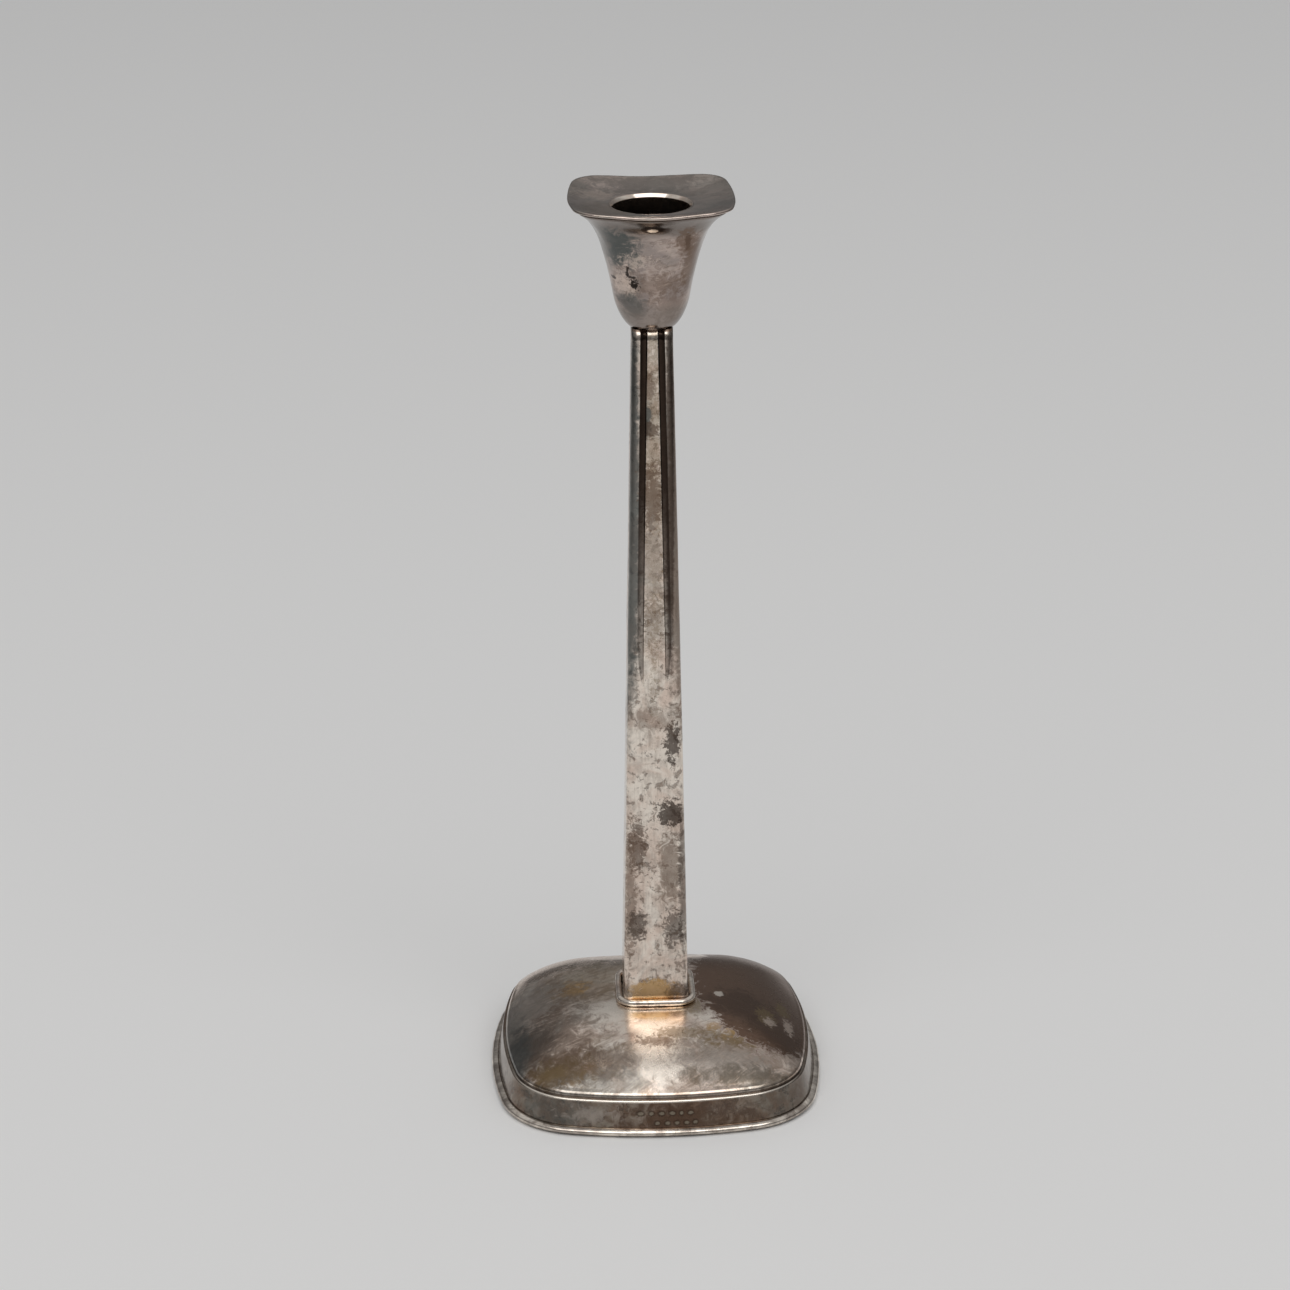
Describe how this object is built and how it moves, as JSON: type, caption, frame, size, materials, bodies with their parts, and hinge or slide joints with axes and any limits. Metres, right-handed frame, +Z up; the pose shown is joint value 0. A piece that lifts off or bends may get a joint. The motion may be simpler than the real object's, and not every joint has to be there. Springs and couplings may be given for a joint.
{
  "type": "candlestick",
  "caption": "Tall weighted metal candlestick: square foot with bowed sides and domed top, slim fluted square stem, bell cup and a lift-out nozzle with a wide drip pan.",
  "frame": {"origin": "centre of the underside, where the felt rests on the table", "axes": "+Z up along the stem towards the candle, X and Y square to the sides of the foot, stem and drip pan"},
  "size_m": [0.1028, 0.1028, 0.2799],
  "materials": {
    "silver": "sheet silver, polished long ago and now unevenly tarnished grey, brown and blue-green, with wipe scratches",
    "steel": "plain turned steel",
    "loading_cement": "dull poured pitch and sand cement",
    "felt": "dark green wool felt"
  },
  "bodies": {
    "candlestick": {"base_felt": "felt", "base_plate": "steel", "foot_filling": "loading_cement", "foot_border_wire": "silver", "foot_band": "silver", "foot_dome": "silver", "stem_collar": "silver", "stem_tube": "silver", "stem_filling": "loading_cement", "stem_top_plate": "steel", "tie_rod": "steel", "rod_washer_lower": "steel", "rod_nut_lower": "steel", "cup_bell": "silver", "cup_washer": "steel", "rod_nut_upper": "steel"},
    "nozzle": {"drip_pan": "silver", "candle_tube": "silver", "candle_tube_floor": "silver"}
  },
  "joints": [
    {"name": "nozzle_lift", "type": "slide", "parent": "candlestick", "child": "nozzle", "axis": [0, 0, 1], "range_m": [0, 0.03]}
  ]
}
